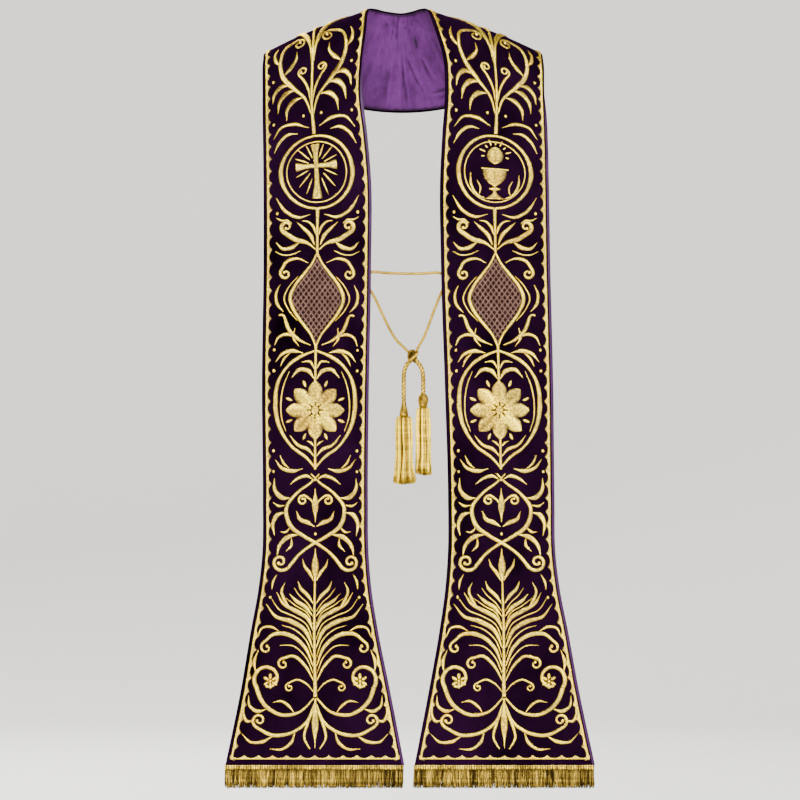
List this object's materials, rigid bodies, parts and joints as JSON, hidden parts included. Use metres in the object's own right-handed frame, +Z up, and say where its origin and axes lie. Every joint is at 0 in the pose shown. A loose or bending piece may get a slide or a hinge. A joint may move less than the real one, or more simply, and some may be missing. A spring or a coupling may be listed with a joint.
{
  "type": "clerical stole",
  "caption": "Embroidered velvet stole in its worn shape: flared hanging panels with fringed hems, a satin-lined neck strip and a tasselled tie cord.",
  "frame": {"origin": "middle of the neck opening, level with the shoulder line beside the neck, where the wearer's neck and shoulders hold the stole", "axes": "+Z up, -Y towards the front where the panels hang, +X to the right as seen from the front"},
  "size_m": [0.5184, 0.2132, 1.1031],
  "materials": {
    "velvet": "dark purple velvet",
    "satin": "purple satin",
    "gold_thread": "gold thread",
    "gold_cord": "twisted gold cord"
  },
  "bodies": {
    "root": {"face_left": "velvet", "face_right": "velvet", "lining_left": "satin", "lining_right": "satin", "fringe_heading_left": "gold_thread", "fringe_heading_right": "gold_thread", "fringe_skirt_left": "gold_thread", "fringe_skirt_right": "gold_thread", "cord_loop_left": "satin", "cord_loop_right": "satin", "tie_cord": "gold_cord", "tie_knot": "gold_cord", "tassel_cord_left": "gold_cord", "tassel_cord_right": "gold_cord", "tassel_head_left": "gold_cord", "tassel_head_right": "gold_cord", "tassel_skirt_left": "gold_cord", "tassel_skirt_right": "gold_cord"}
  },
  "joints": []
}
